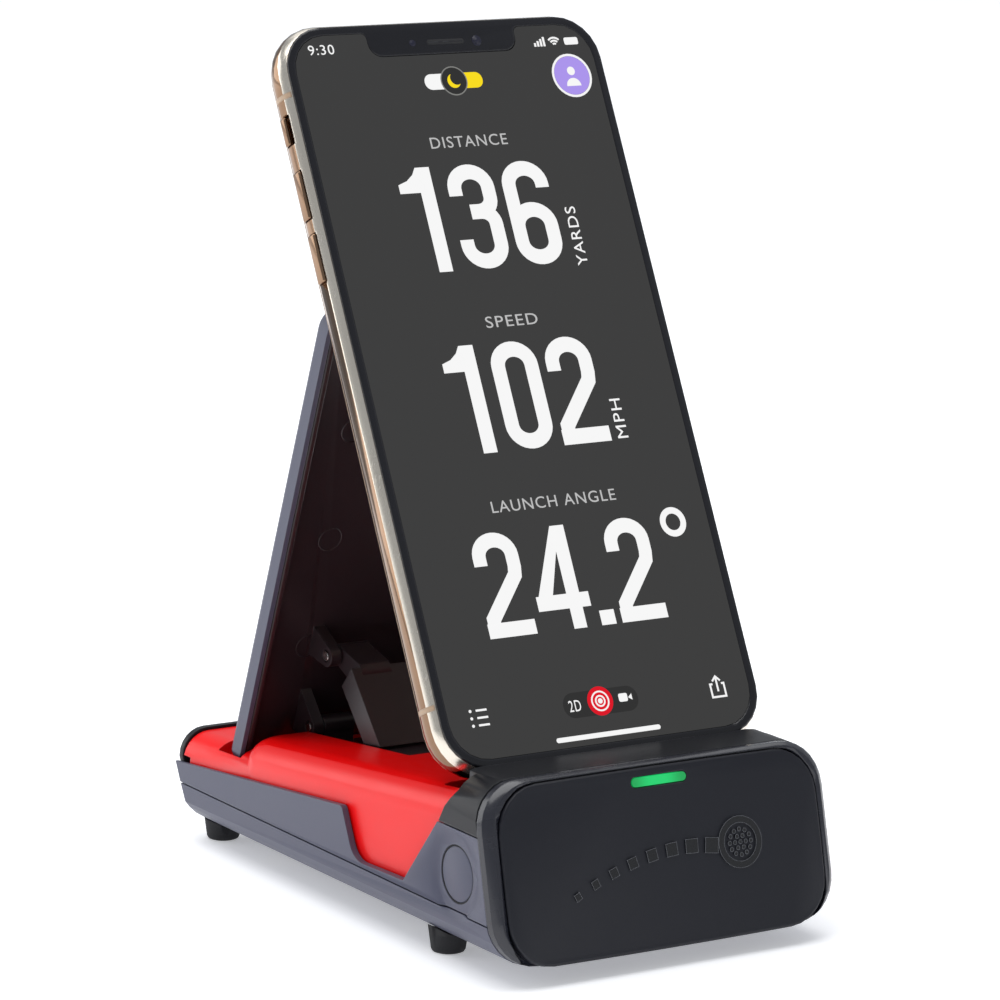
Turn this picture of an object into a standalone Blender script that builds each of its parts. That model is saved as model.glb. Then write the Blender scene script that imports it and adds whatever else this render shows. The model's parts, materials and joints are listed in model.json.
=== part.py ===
"""Folding launch monitor for golf: a wedge-shaped base with a radar at its rear, a lid that opens into
a backrest, a small prop behind it, and the handset that stands in the cradle and shows the readings.

Lengths are in metres. X runs across, Z up. Places along the base are given as a depth behind the foot
of the front plate, and the model stands with the middle of its length on the origin."""

import math

import bmesh
import bpy
from mathutils import Matrix, Vector

# Base
LENGTH = 0.1335
HALF_FRONT = 0.0405
HALF_REAR = 0.0390
FLOOR = 0.0040
SEAM = 0.0122
CAP_SEAM = 0.0290
TOP = 0.0393
WALL = 0.0016
GAP = 0.0003
CORNER = 0.0090
REAR_LOW = 0.1280
REAR_HIGH = 0.1334
PLATE_LEAN = math.radians(13.6)
BEZEL_DEPTH = 0.0035

# Deck
DECK_SLOPE = 0.10
DECK_REF = (0.1055, 0.0270)
DECK_HALF = 0.0382
DECK_REAR = 0.1102
CROWN = (0.1160, 0.0233)
CROWN_SLOPE = 0.04
TROUGH = (0.1100, 0.1194)
WELL_HALF = 0.0228
WELL = (0.0640, 0.1099)
NOTCH_HALF = 0.0345
NOTCH_REAR = 0.0316
BLOCK_EDGE = ((0.0377, 0.0100), (0.0377, 0.0135), (0.0247, 0.0293), (0.0205, 0.0360), (0.0205, 0.0500))

# Lid and its prop
LID_LEAN = math.radians(-19.9)
LID_FOOT = (0.1165, 0.0208)
LID_LENGTH = 0.1086
LID_HALF = 0.0356
LID_RIM = 0.0044
LID_CORNER = 0.0050
PANEL_FACE = 0.0022
HINGE = (0.1055, 0.0278)
PROP_HINGE = (0.09855, 0.04465)
PIN_RADIUS = 0.0010
PIN_HOLE = 0.0013
BOSS = 0.0023
LUG_OUT = 0.0224
LUG_IN = 0.0199

# Handset
PHONE_LEAN = math.radians(26.95)
PHONE_FOOT = (0.02326, 0.03732)
PHONE_HALF = 0.0387
PHONE_TALL = 0.1575
PHONE_THICK = 0.0077
PHONE_CORNER = 0.0105

# Side button
BUTTON_AT = (0.0185, 0.0196)
BUTTON_RADIUS = 0.0056
DISH_RADIUS = 0.0091
DISH_DEPTH = 0.0009

COLOURS = {
    "casing": ((0.052, 0.053, 0.062), 0.48, 0.0),
    "plate": ((0.018, 0.018, 0.021), 0.60, 0.0),
    "gloss": ((0.020, 0.020, 0.024), 0.25, 0.0),
    "red": ((0.80, 0.010, 0.008), 0.28, 0.0),
    "rubber": ((0.025, 0.025, 0.027), 0.80, 0.0),
    "steel": ((0.62, 0.61, 0.60), 0.30, 1.0),
    "gold": ((0.66, 0.46, 0.33), 0.22, 1.0),
    "glass": ((0.010, 0.010, 0.014), 0.06, 0.0),
    "screen": ((0.045, 0.045, 0.046), 0.30, 0.0),
    "light": ((0.05, 0.75, 0.24), 0.35, 0.0),
    "board": ((0.015, 0.10, 0.05), 0.50, 0.0),
    "foil": ((0.70, 0.70, 0.72), 0.35, 1.0),
}

for leftover in list(bpy.data.objects):
    bpy.data.objects.remove(leftover)
PARTS = bpy.data.collections.new("launch_monitor")
CUTTERS = bpy.data.collections.new("cutters")
for group in (PARTS, CUTTERS):
    bpy.context.scene.collection.children.link(group)


# Frames: a prism is drawn in a frame's X and Y and grows along its Z.

def leaning(depth, height, lean=0.0):
    """A face that leans back: X across, Y up the face, Z out of it towards the front."""
    up = Vector((0, math.sin(lean), math.cos(lean)))
    out = Vector((0, -math.cos(lean), math.sin(lean)))
    rows = ((1, 0, 0, 0), (0, up.y, out.y, depth - LENGTH / 2), (0, up.z, out.z, height), (0, 0, 0, 1))
    return Matrix(rows)


SIDE = Matrix(((0, 0, 1, 0), (1, 0, 0, -LENGTH / 2), (0, 1, 0, 0), (0, 0, 0, 1)))
PLAN = Matrix.Translation((0, -LENGTH / 2, 0))
SECTION = leaning(0, 0)
PLATE = leaning(0, FLOOR, PLATE_LEAN)
LID = leaning(*LID_FOOT, LID_LEAN)
PHONE = leaning(*PHONE_FOOT, PHONE_LEAN)


# Outlines

def rounded(corners, steps=5):
    """An outline from corners (a, b, radius), with an arc of steps chords at each radius."""
    points = []
    count = len(corners)
    for index, (a, b, radius) in enumerate(corners):
        here = Vector((a, b))
        if radius == 0:
            points.append(tuple(here))
            continue
        back = (Vector(corners[index - 1][:2]) - here).normalized()
        ahead = (Vector(corners[(index + 1) % count][:2]) - here).normalized()
        half = back.angle(ahead) / 2
        reach = radius / math.tan(half)
        centre = here + (back + ahead).normalized() * (radius / math.sin(half))
        first = here + back * reach - centre
        turn = first.angle_signed(here + ahead * reach - centre)
        for step in range(steps + 1):
            spin = Matrix.Rotation(-turn * step / steps, 2)
            points.append(tuple(centre + spin @ first))
    return points


def panel(half, low, high, low_radius, high_radius, steps=5):
    """An upright panel's outline, centred on X, with its own radii at the bottom and at the top."""
    corners = [(-half, low, low_radius), (half, low, low_radius),
               (half, high, high_radius), (-half, high, high_radius)]
    return rounded(corners, steps)


def along_plate(height, behind):
    """Depth of the plane that lies behind the front plate's face, at this height."""
    return (height - FLOOR) * math.tan(PLATE_LEAN) + behind / math.cos(PLATE_LEAN)


def deck_height(depth, below=0.0):
    return DECK_REF[1] + (DECK_REF[0] - depth) * DECK_SLOPE - below


# Solids

def keep(name, mesh, colour=None, group=PARTS):
    obj = bpy.data.objects.new(name, mesh)
    group.objects.link(obj)
    if colour:
        obj.data.materials.clear()
        obj.data.materials.append(material(colour))
    return obj


def material(colour):
    if colour in bpy.data.materials:
        return bpy.data.materials[colour]
    made = bpy.data.materials.new(colour)
    made.use_nodes = True
    shader = made.node_tree.nodes["Principled BSDF"]
    base, rough, metal = COLOURS[colour]
    shader.inputs["Base Color"].default_value = (*base, 1)
    shader.inputs["Roughness"].default_value = rough
    shader.inputs["Metallic"].default_value = metal
    return made


def dress(obj, name, colour, smooth=True):
    """Gives a finished sub-part its own name and its own material."""
    obj.name = name
    own = material(colour).copy()
    own.name = name
    obj.data.materials.clear()
    obj.data.materials.append(own)
    if smooth:
        obj.data.shade_smooth()
        obj.data.set_sharp_from_angle(angle=math.radians(35))
    return obj


def prism(points, frame, low, high, name="prism"):
    """A flat outline given a thickness from low to high along the frame's Z."""
    curve = bpy.data.curves.new(name, "CURVE")
    curve.dimensions = "2D"
    curve.fill_mode = "BOTH"
    curve.extrude = (high - low) / 2
    spline = curve.splines.new("POLY")
    spline.points.add(len(points) - 1)
    for point, (a, b) in zip(spline.points, points):
        point.co = (a, b, 0, 1)
    spline.use_cyclic_u = True
    guide = bpy.data.objects.new(name, curve)
    PARTS.objects.link(guide)
    found = guide.evaluated_get(bpy.context.evaluated_depsgraph_get())
    mesh = bpy.data.meshes.new_from_object(found)
    bpy.data.objects.remove(guide)
    form = bmesh.new()
    form.from_mesh(mesh)
    bmesh.ops.remove_doubles(form, verts=form.verts, dist=1e-7)
    bmesh.ops.dissolve_limit(form, angle_limit=0.002, verts=form.verts, edges=form.edges)
    bmesh.ops.recalc_face_normals(form, faces=form.faces)
    form.transform(frame @ Matrix.Translation((0, 0, (low + high) / 2)))
    form.to_mesh(mesh)
    form.free()
    return keep(name, mesh)


def box(low, high, name="box"):
    """A box between two corners (x, depth, z)."""
    size = Vector(high) - Vector(low)
    middle = (Vector(high) + Vector(low)) / 2
    form = bmesh.new()
    bmesh.ops.create_cube(form, size=1, matrix=PLAN @ Matrix.Translation(middle) @ Matrix.Diagonal((*size, 1)))
    mesh = bpy.data.meshes.new(name)
    form.to_mesh(mesh)
    form.free()
    return keep(name, mesh)


def cylinder(start, end, radius, end_radius=None, segments=24, frame=PLAN, name="cylinder"):
    """A round bar or cone between two points of the frame."""
    start, end = Vector(start), Vector(end)
    axis = end - start
    turn = axis.to_track_quat("Z", "Y").to_matrix().to_4x4()
    form = bmesh.new()
    bmesh.ops.create_cone(form, cap_ends=True, segments=segments, radius1=radius,
                          radius2=radius if end_radius is None else end_radius, depth=axis.length,
                          matrix=frame @ Matrix.Translation((start + end) / 2) @ turn)
    mesh = bpy.data.meshes.new(name)
    form.to_mesh(mesh)
    form.free()
    return keep(name, mesh)


def loft(loops, name="loft"):
    """A solid skinned over closed loops of equal count, capped at both ends."""
    form = bmesh.new()
    rings = [[form.verts.new(point) for point in loop] for loop in loops]
    for ring, following in zip(rings, rings[1:]):
        for index in range(len(ring)):
            after = (index + 1) % len(ring)
            form.faces.new((ring[index], ring[after], following[after], following[index]))
    form.faces.new(rings[0])
    form.faces.new(rings[-1])
    bmesh.ops.recalc_face_normals(form, faces=form.faces)
    mesh = bpy.data.meshes.new(name)
    form.to_mesh(mesh)
    form.free()
    return keep(name, mesh)


def round_edges(obj, width, segments, chosen):
    """Rounds the edges whose two ends both pass the test."""
    form = bmesh.new()
    form.from_mesh(obj.data)
    edges = [edge for edge in form.edges if all(chosen(vert.co) for vert in edge.verts)]
    bmesh.ops.bevel(form, geom=edges, offset=width, segments=segments, profile=0.5, affect="EDGES",
                    clamp_overlap=True)
    form.to_mesh(obj.data)
    form.free()
    return obj


def shear(obj, slope, depth):
    """Tilts a level solid so that it rises by slope towards the front, about this depth."""
    for vert in obj.data.vertices:
        vert.co.z += slope * (depth - LENGTH / 2 - vert.co.y)
    return obj


def put_away(obj):
    PARTS.objects.unlink(obj)
    CUTTERS.objects.link(obj)
    obj.hide_render = True
    obj.display_type = "WIRE"


def combine(obj, operation, others):
    for other in others:
        step = obj.modifiers.new(operation.lower(), "BOOLEAN")
        step.operation = operation
        step.solver = "EXACT"
        step.object = other
        if other.name in PARTS.objects:
            put_away(other)
    return obj


def cut(obj, *others):
    return combine(obj, "DIFFERENCE", others)


def join(obj, *others):
    return combine(obj, "UNION", others)


def common(obj, *others):
    return combine(obj, "INTERSECT", others)


# The base's outer form, shrunk by inset, from which the tray, the frame and the cap are taken.

def casing_form(inset, front):
    section = panel(HALF_FRONT - inset, FLOOR + inset, TOP - inset, CORNER - inset, CORNER - inset, 7)
    form = prism(section, SECTION, -0.16, 0.03, "casing_section")
    plan = rounded([(-HALF_FRONT + inset, -0.01, 0), (HALF_FRONT - inset, -0.01, 0),
                    (HALF_REAR - inset, 0.150, 0), (-HALF_REAR + inset, 0.150, 0)])
    side = rounded([(along_plate(FLOOR - 0.01, front), FLOOR - 0.01, 0),
                    (REAR_LOW - inset - 0.0016, FLOOR - 0.01, 0),
                    (REAR_LOW - inset, FLOOR + 0.0035, 0.004), (0.1308 - inset, SEAM, 0.004),
                    (REAR_HIGH - inset, 0.0172, 0.002), (REAR_HIGH - inset, TOP + 0.01, 0),
                    (along_plate(TOP + 0.01, front), TOP + 0.01, 0)])
    return common(form, prism(plan, PLAN, -0.01, 0.06, "casing_plan"),
                  prism(side, SIDE, -0.05, 0.05, "casing_side"))


def casing_shell(name):
    shell = casing_form(0, BEZEL_DEPTH + GAP)
    shell.name = name
    return cut(shell, casing_form(WALL, BEZEL_DEPTH + GAP + WALL))


def block_edge(shift):
    """The sloping rear edge of the front block, moved back by shift."""
    return [(depth + shift, height) for depth, height in BLOCK_EDGE]


def side_dish():
    """The round dish that holds the side button, as a cutter."""
    depth, height = BUTTON_AT
    skin = -(HALF_FRONT - 0.00018)
    return cylinder((skin - 0.0006, depth, height), (skin + DISH_DEPTH, depth, height),
                    DISH_RADIUS + 0.0007, DISH_RADIUS - 0.0010, 40, name="dish")


def make_tray():
    tray = casing_shell("bottom_tray")
    common(tray, box((-0.05, -0.01, 0), (0.05, 0.15, SEAM - GAP / 2), "tray_range"))
    for x, depth in SCREWS:
        join(tray, cylinder((x, depth, FLOOR + 0.0008), (x, depth, SEAM - 0.0008), 0.0029, segments=20))
    for x, depth in SCREWS:
        cut(tray, cylinder((x, depth, 0), (x, depth, 0.02), 0.0013, segments=16),
            cylinder((x, depth, 0), (x, depth, FLOOR + 0.0027), 0.0024, segments=16))
    for x, depth in BOARD_POSTS:
        join(tray, cylinder((x, depth, FLOOR + 0.0008), (x, depth, BOARD_LOW - GAP), 0.0018, segments=12))
    cut(tray, side_dish(), usb_opening())
    return dress(tray, "bottom_tray", "casing")


def make_mid_frame():
    frame = casing_shell("mid_frame")
    depth, height = BUTTON_AT
    join(frame, cylinder((-0.0395, depth, height), (-0.0376, depth, height), 0.0103, segments=40))
    low = SEAM + GAP / 2
    high = CAP_SEAM - GAP / 2
    side = [(along_plate(low, 0) - 0.001, low, 0), (along_plate(high, 0) - 0.001, high, 0),
            (0.02495, high, 0.0004), (0.0377, 0.0137, 0.0008), (0.0573, 0.0131, 0.0052),
            (0.0622, 0.0232, 0.0012), (0.1400, 0.0158, 0), (0.1400, low, 0)]
    common(frame, prism(rounded(side), SIDE, -0.06, 0.06, "frame_range"))
    room = DECK_HALF + GAP
    cut(frame, box((-room, 0.0383, low - 0.001), (room, 0.16, 0.05), "deck_room"),
        side_dish(),
        cylinder((-0.05, depth, height), (-0.03, depth, height), BUTTON_RADIUS + GAP, segments=40))
    return dress(frame, "mid_frame", "casing")


def make_front_cap():
    """The block's cap: its crown, the lip in front of the handset and the ledge below it."""
    cap = casing_form(0, BEZEL_DEPTH + GAP)
    cap.name = "front_cap"
    low = CAP_SEAM + GAP / 2
    lip = PHONE_FOOT[0] - 0.00046
    crown = [(along_plate(low, 0) - 0.002, low), (0.02465, low)]
    crown += [point for point in block_edge(-GAP) if point[1] > low]
    crown += [(along_plate(0.05, 0) - 0.002, 0.05)]
    ledge = [(0.0190, low), (NOTCH_REAR - GAP, low), (NOTCH_REAR - GAP, 0.0318), (lip, 0.0363),
             (lip, 0.0450), (0.0190, 0.0450)]
    solid = prism(crown, SIDE, -0.06, 0.06, "cap_crown")
    join(solid, prism(ledge, SIDE, -NOTCH_HALF + GAP, NOTCH_HALF - GAP, "cap_ledge"))
    common(cap, solid)
    cut(cap, box((-0.0350, 0.0135, 0.020), (0.0350, 0.0192, 0.0375), "cap_hollow"))
    return dress(cap, "front_cap", "casing")


def make_deck():
    """The red top shell: a low crown at the rear and a raised platform that carries the folded lid."""
    def level(inset):
        section = panel(DECK_HALF - inset - 0.0001, 0.006, CROWN[1] - inset, 0, 0.0060 - inset, 7)
        low = prism(section, SECTION, -0.1314 + inset, -0.095, "deck_crown")
        shear(low, CROWN_SLOPE, CROWN[0])
        outline = rounded([(-DECK_HALF + inset, 0.012, 0), (DECK_HALF - inset, 0.012, 0),
                           (DECK_HALF - inset, DECK_REAR - inset, 0.0090 - inset),
                           (-DECK_HALF + inset, DECK_REAR - inset, 0.0090 - inset)], 7)
        high = prism(outline, PLAN, 0.005, DECK_REF[1] - inset, "deck_platform")
        round_edges(high, 0.0055 - inset, 6, lambda p: p.z > 0.02)
        shear(high, DECK_SLOPE, DECK_REF[0])
        return join(high, low)

    deck = level(0)
    deck.name = "deck"
    hollow = level(WALL)
    keep_wall = WALL * 0.9
    cut(hollow, box((-0.0362 - keep_wall, TROUGH[0] - keep_wall, 0.0178 - keep_wall),
                    (0.0362 + keep_wall, TROUGH[1] + keep_wall, 0.06), "trough_wall"))
    edge = block_edge(GAP)
    front = [(-0.02, 0.0), edge[0]] + edge[1:] + [(-0.02, edge[-1][1])]
    cut(deck, hollow,
        box((-0.0362, TROUGH[0], 0.0178), (0.0362, TROUGH[1], 0.06), "trough"),
        box((-WELL_HALF, WELL[0], 0.0), (WELL_HALF, WELL[1], 0.06), "well"),
        box((-NOTCH_HALF, -0.01, 0.0), (NOTCH_HALF, NOTCH_REAR, 0.06), "cradle_notch"),
        prism(front, SIDE, -0.06, 0.06, "block_side"),
        box((-0.06, -0.02, -0.02), (0.06, 0.16, 0.0128), "below_deck"),
        box((-0.06, 0.1286, -0.02), (0.06, 0.16, 0.0179), "window_room"))
    return dress(deck, "deck", "red")


def sloped_slab(half, start, end, below_low, below_high, name="slab"):
    """A slab that follows the deck, between two distances below its surface."""
    slab = box((-half, start, DECK_REF[1] - below_low), (half, end, DECK_REF[1] - below_high), name)
    return shear(slab, DECK_SLOPE, DECK_REF[0])


def make_hinge_bracket():
    """The dark plate in the deck's well: a shelf for the prop's foot and the knuckles of the lid's hinge."""
    inner = WELL_HALF - GAP
    bracket = sloped_slab(inner + 0.0024, WELL[0] - 0.002, 0.1050, 0.0056, WALL + GAP, "hinge_bracket")
    join(bracket, sloped_slab(inner, 0.1000, WELL[1] - GAP, 0.0055, 0.0030, "bracket_tail"),
         sloped_slab(inner, WELL[0] + GAP, 0.1000, 0.0030, 0.0008, "shelf"))
    cut(bracket, sloped_slab(inner + 0.0001, 0.0835, 0.1150, 0.0037, -0.01, "deep_well"))
    depth, height = HINGE
    for side in (-1, 1):
        near, far = side * 0.0125, side * (LUG_IN - GAP)
        join(bracket, box((min(near, far), depth - BOSS * 0.8, height - 0.0052),
                          (max(near, far), depth + BOSS * 0.8, height), "web"),
             cylinder((near, depth, height), (far, depth, height), BOSS, segments=20))
    cut(bracket, cylinder((-0.03, depth, height), (0.03, depth, height), PIN_HOLE, segments=16))
    return dress(bracket, "hinge_bracket", "plate")


def make_rear_window():
    """The plate at the rear that the radar looks through."""
    side = [(0.1292, SEAM + GAP), (0.1308, SEAM + GAP), (REAR_HIGH, 0.0173), (REAR_HIGH, 0.05),
            (0.1318, 0.05), (0.1318, 0.0176)]
    window = prism(side, SIDE, -DECK_HALF, DECK_HALF, "rear_window")
    crown = panel(DECK_HALF - 0.0001, 0.0, 0.0233, 0, 0.0058, 6)
    common(window, prism(crown, SECTION, -0.15, -0.12, "window_crown"))
    return dress(window, "rear_window", "plate")


def swell(points, middle, half, amount):
    """Bows a panel's straight sides outwards by amount at their middles."""
    bowed = []
    for a, b in points:
        across = a / half[0]
        up = (b - middle) / half[1]
        bowed.append((a + across * amount * (1 - up * up), b + up * amount * (1 - across * across)))
    return bowed


def plate_outline(half, low, high, radius, fine=6):
    """The front plate's outline, with points along its sides so that they can bow."""
    corners = panel(half, low, high, radius, radius, fine)
    points = []
    for index, start in enumerate(corners):
        end = corners[(index + 1) % len(corners)]
        points.append(start)
        if (Vector(end) - Vector(start)).length > 0.010:
            for step in range(1, 6):
                points.append(tuple(Vector(start).lerp(Vector(end), step / 6)))
    return swell(points, (low + high) / 2, (half, (high - low) / 2), 0.0003)


def make_bezel():
    """The ring that joins the front plate to the body, flaring from one to the other."""
    loops = []
    for behind, half, low, high in ((BEZEL_DEPTH, 0.0405, 0.00085, 0.03716), (0.0020, 0.0403, 0.0006, 0.0370),
                                    (0.0011, 0.0397, 0.0006, 0.0367), (0.0005, 0.0388, 0.0008, 0.0363)):
        outline = panel(half, low, high, CORNER + 0.0004, CORNER + 0.0004, 7)
        loops.append([PLATE @ Vector((a, b, -behind)) for a, b in outline])
    ring = loft(loops, "bezel_ring")
    cut(ring, prism(plate_outline(PLATE_HALF + GAP, -0.0010, PLATE_HIGH + GAP, CORNER), PLATE,
                    -0.0020, 0.01, "plate_seat"),
        prism(panel(0.0350, 0.0030, 0.0330, 0.007, 0.007), PLATE, -0.01, 0.01, "ring_hole"))
    return dress(ring, "bezel_ring", "gloss")


def make_front_plate():
    plate = prism(plate_outline(PLATE_HALF, PLATE_LOW, PLATE_HIGH, CORNER), PLATE, -0.0017, 0, "front_plate")
    out = PLATE.to_3x3() @ Vector((0, 0, 1))
    start = PLATE.translation
    round_edges(plate, 0.0005, 2, lambda p: (p - start).dot(out) > -1e-5)
    cut(plate, prism(light_outline(0.0002), PLATE, -0.01, 0.01, "light_slot"))
    return dress(plate, "front_plate", "plate")


def light_outline(grow):
    middle = Vector(LIGHT_AT)
    half = Vector((0.0064, 0.0009)) + Vector((grow, grow))
    corners = [(middle.x + sx * half.x, middle.y + sy * half.y, half.y * 0.98)
               for sx, sy in ((-1, -1), (1, -1), (1, 1), (-1, 1))]
    return rounded(corners, 4)


def make_light():
    lens = prism(light_outline(0), PLATE, -0.0019, 0.00005, "status_lens")
    dress(lens, "status_lens", "light")
    board = prism(panel(0.0200, 0.0240, 0.0320, 0.001, 0.001, 2), PLATE, -0.0033, -0.0024, "led_board")
    emitter = prism(panel(0.0030, 0.0300, 0.0316, 0, 0), PLATE, -0.0026, -0.0022, "emitter")
    dress(join(board, emitter), "led_board", "board")


def make_button():
    depth, height = BUTTON_AT
    face = -(HALF_FRONT - 0.00018) + DISH_DEPTH
    button = cylinder((face, depth, height), (-0.0371, depth, height), BUTTON_RADIUS, segments=40,
                      name="power_button")
    round_edges(button, 0.0004, 2, lambda p: p.x < face + 1e-5)
    join(button, cylinder((-0.0373, depth, height), (-0.0364, depth, height), 0.0069, segments=32),
         cylinder((-0.0366, depth, height), (-0.0356, depth, height), 0.0015, segments=12))
    dress(button, "power_button", "casing")
    switch = box((-0.0345, depth - 0.003, BOARD_HIGH + GAP), (-0.0300, depth + 0.003, height + 0.0030))
    join(switch, cylinder((-0.0347, depth, height), (-0.0340, depth, height), 0.0014, segments=12))
    dress(switch, "power_switch", "foil")


def usb_opening():
    depth, height = USB_AT
    return box((0.030, depth - 0.0050, height - 0.0018), (0.050, depth + 0.0050, height + 0.0018), "port")


def make_electronics():
    board = prism(panel(0.0335, 0.0120, 0.1160, 0.003, 0.003, 2), PLAN, BOARD_LOW, BOARD_HIGH, "main_board")
    for x, depth in SCREWS:
        cut(board, cylinder((x, depth, 0), (x, depth, 0.02), 0.0034, segments=16))
    dress(board, "main_board", "board")
    cell = prism(panel(0.0170, 0.0400, 0.0880, 0.002, 0.002, 3), PLAN, BOARD_HIGH + GAP + 0.0006,
                 BOARD_HIGH + 0.0068, "battery")
    dress(round_edges(cell, 0.001, 2, lambda p: p.z > BOARD_HIGH + 0.0060), "battery", "foil")
    pad = box((-0.0140, 0.0420, BOARD_HIGH + 0.0071), (0.0140, 0.0600, BOARD_HIGH + 0.0086), "battery_foam")
    dress(pad, "battery_foam", "rubber")
    depth, height = USB_AT
    socket = box((0.0310, depth - 0.0045, height - 0.0015), (0.0385, depth + 0.0045, height + 0.0015), "usb_socket")
    cut(socket, box((0.0330, depth - 0.0041, height - 0.0011), (0.05, depth + 0.0041, height + 0.0011)))
    join(socket, box((0.0320, depth - 0.0032, height - 0.0003), (0.0375, depth + 0.0032, height + 0.0003)))
    dress(socket, "usb_socket", "steel")
    antenna = box((-0.0290, 0.1273, 0.0127), (0.0290, 0.1285, 0.0190), "radar_antenna")
    dress(antenna, "radar_antenna", "board")
    shield = box((-0.0200, 0.1233, 0.0130), (0.0200, 0.1270, 0.0188), "radar_shield")
    cut(shield, box((-0.0195, 0.1238, 0.0135), (0.0195, 0.14, 0.0183)))
    dress(shield, "radar_shield", "foil")


def make_feet():
    for side, across in (("left", -1), ("right", 1)):
        for end, depth, x in (("front", 0.0313, 0.0332), ("rear", 0.1262, 0.0312)):
            foot = cylinder((across * x, depth, 0), (across * x, depth, 0.0085), 0.0034, 0.0046, 28, name="foot")
            round_edges(foot, 0.0006, 2, lambda p: p.z < 1e-5)
            cut(foot, casing_form(-GAP, BEZEL_DEPTH))
            dress(foot, f"foot_{end}_{side}", "rubber")


def make_case_screws():
    """The screws that hold the tray to the deck, driven from below."""
    for x, depth in SCREWS:
        screw = cylinder((x, depth, FLOOR + 0.0006), (x, depth, FLOOR + 0.0024), 0.0021, segments=16)
        join(screw, cylinder((x, depth, FLOOR + 0.0020), (x, depth, SEAM + 0.0030), 0.0010, segments=12))
        cut(screw, cylinder((x, depth, 0), (x, depth, FLOOR + 0.0014), 0.0010, segments=6))
        side = "left" if x < 0 else "right"
        end = "front" if depth < 0.08 else "rear"
        dress(screw, f"case_screw_{end}_{side}", "steel")


def lid_outline(inset):
    return panel(LID_HALF - inset, inset, LID_LENGTH - inset, 0.0025, LID_CORNER - inset, 6)


def open_foot(inset):
    """The same, run out past the lid's foot so that a wall cut with it is open there."""
    return panel(LID_HALF - inset, -0.01, LID_LENGTH - inset, 0.0, LID_CORNER - inset, 6)


def lug(low, high, hinge):
    """A wedge from the panel's face to a boss on the hinge, drawn in the side view."""
    root = [LID @ Vector((0, along, PANEL_FACE - 0.0004)) for along in (high, low)]
    root = [(point.y + LENGTH / 2, point.z) for point in root]
    centre = Vector(hinge)
    first = math.atan2(root[0][1] - centre.y, root[0][0] - centre.x) + math.radians(75)
    last = math.atan2(root[1][1] - centre.y, root[1][0] - centre.x) + math.radians(285)
    arc = [(centre.x + BOSS * math.cos(first + (last - first) * step / 8),
            centre.y + BOSS * math.sin(first + (last - first) * step / 8)) for step in range(9)]
    return [root[0]] + arc + [root[1]]


def make_lid():
    """An outer cover and, inside it, the panel that carries the lugs."""
    cover = prism(lid_outline(0), LID, 0, LID_RIM, "lid_cover")
    out = LID.to_3x3() @ Vector((0, 0, 1))
    start = LID.translation
    round_edges(cover, 0.0012, 3, lambda p: (p - start).dot(out) < 1e-5)
    cut(cover, prism(open_foot(0.0011), LID, 0.0010, 0.01, "cover_hollow"))
    dress(cover, "lid_cover", "casing")

    panel_plate = prism(panel(LID_HALF - 0.0014, 0.0004, LID_LENGTH - 0.0014, 0.002, LID_CORNER - 0.0014, 6), LID,
                        0.0013, LID_RIM - 0.0004, "lid_panel")
    round_edges(panel_plate, 0.0007, 3, lambda p: (p - start).dot(out) > LID_RIM - 0.00041)
    cut(panel_plate, prism(open_foot(0.0028), LID, PANEL_FACE, 0.01, "panel_hollow"))
    for low, high, hinge in ((0.0060, 0.0165, HINGE), (0.0250, 0.0320, PROP_HINGE)):
        for side in (-1, 1):
            near, far = sorted((side * LUG_IN, side * LUG_OUT))
            join(panel_plate, prism(lug(low, high, hinge), SIDE, near, far, "lug"))
        depth, height = hinge
        cut(panel_plate, cylinder((-0.03, depth, height), (0.03, depth, height), PIN_HOLE, segments=16))
    dress(panel_plate, "lid_panel", "plate")

    for side, x in (("left", -0.024), ("right", 0.024)):
        pad = prism([(x - 0.0035, 0.1020), (x + 0.0035, 0.1020), (x + 0.0035, 0.1053), (x - 0.0035, 0.1053)],
                    LID, PANEL_FACE + GAP, LID_RIM + 0.0003, "pad")
        dress(pad, f"lid_bumper_{side}", "rubber")

    for title, (depth, height) in (("hinge_pin", HINGE), ("prop_pin", PROP_HINGE)):
        for side, across in (("left", -1), ("right", 1)):
            pin = cylinder((across * (LUG_OUT + 0.0001), depth, height), (across * 0.0130, depth, height),
                           PIN_RADIUS, segments=16, name=title)
            dress(pin, f"{title}_{side}", "steel")


def make_prop():
    """The small stand that swings out below the lid and rests on the bracket's shelf."""
    body = [(0.0892, 0.0439), (0.0772, 0.0297), (0.0838, 0.0290), (0.0930, 0.0393)]
    prop = prism(body, SIDE, -0.0218, 0.0218, "prop")
    cut(prop, prism([(0.0893, 0.0410), (0.0790, 0.0290), (0.0786, 0.0280), (0.0845, 0.0280),
                     (0.0950, 0.0396)], SIDE, -0.0202, 0.0202, "prop_hollow"))
    depth, height = PROP_HINGE
    neck = [(0.0880, 0.0425), (0.0896, 0.0444), (depth, height + BOSS * 0.95),
            (depth, height - BOSS * 0.95), (0.0925, 0.0397)]
    for side in (-1, 1):
        near, far = sorted((side * 0.0125, side * (LUG_IN - GAP)))
        join(prop, prism(neck, SIDE, near, far, "neck"),
             cylinder((near, depth, height), (far, depth, height), BOSS, segments=20))
    cut(prop, cylinder((-0.03, depth, height), (0.03, depth, height), PIN_HOLE, segments=16))
    dress(prop, "prop", "casing")


def make_cradle_pad():
    low, high = 0.0006, 0.0062
    pad = prism([(-0.026, low), (0.026, low), (0.026, high), (-0.026, high)],
                PHONE @ Matrix.Rotation(math.radians(-90), 4, "X"), -0.0008, -GAP, "cradle_pad")
    dress(pad, "cradle_pad", "rubber")


# The handset, drawn on its own leaning face: X across, Y up the screen, Z out of the glass.

def phone_outline(inset, steps=6):
    return panel(PHONE_HALF - inset, inset, PHONE_TALL - inset, PHONE_CORNER - inset, PHONE_CORNER - inset, steps)


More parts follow.
